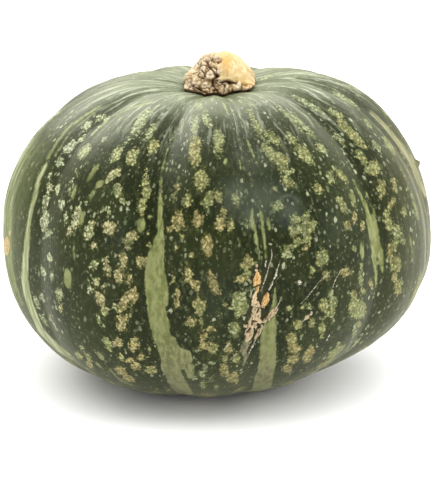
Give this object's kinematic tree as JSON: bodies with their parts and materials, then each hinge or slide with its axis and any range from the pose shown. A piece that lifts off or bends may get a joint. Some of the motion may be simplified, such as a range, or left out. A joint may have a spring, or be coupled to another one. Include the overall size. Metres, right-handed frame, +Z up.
{
  "type": "kabocha squash",
  "caption": "Whole kabocha squash, a squat round ribbed fruit with mottled dark green skin and a corky stub of stem, resting on its base.",
  "frame": {"origin": "on the surface the squash rests on, under the middle of its box", "axes": "+Z up through the stem, -Y towards the side with the scar and the broad pale stripes, +X to the right seen from that side"},
  "size_m": [0.1972, 0.1954, 0.1519],
  "materials": {
    "fruit_skin": "satin",
    "stem_cork": "matte"
  },
  "bodies": {
    "root": {"fruit": "fruit_skin", "stem": "stem_cork"}
  },
  "joints": []
}
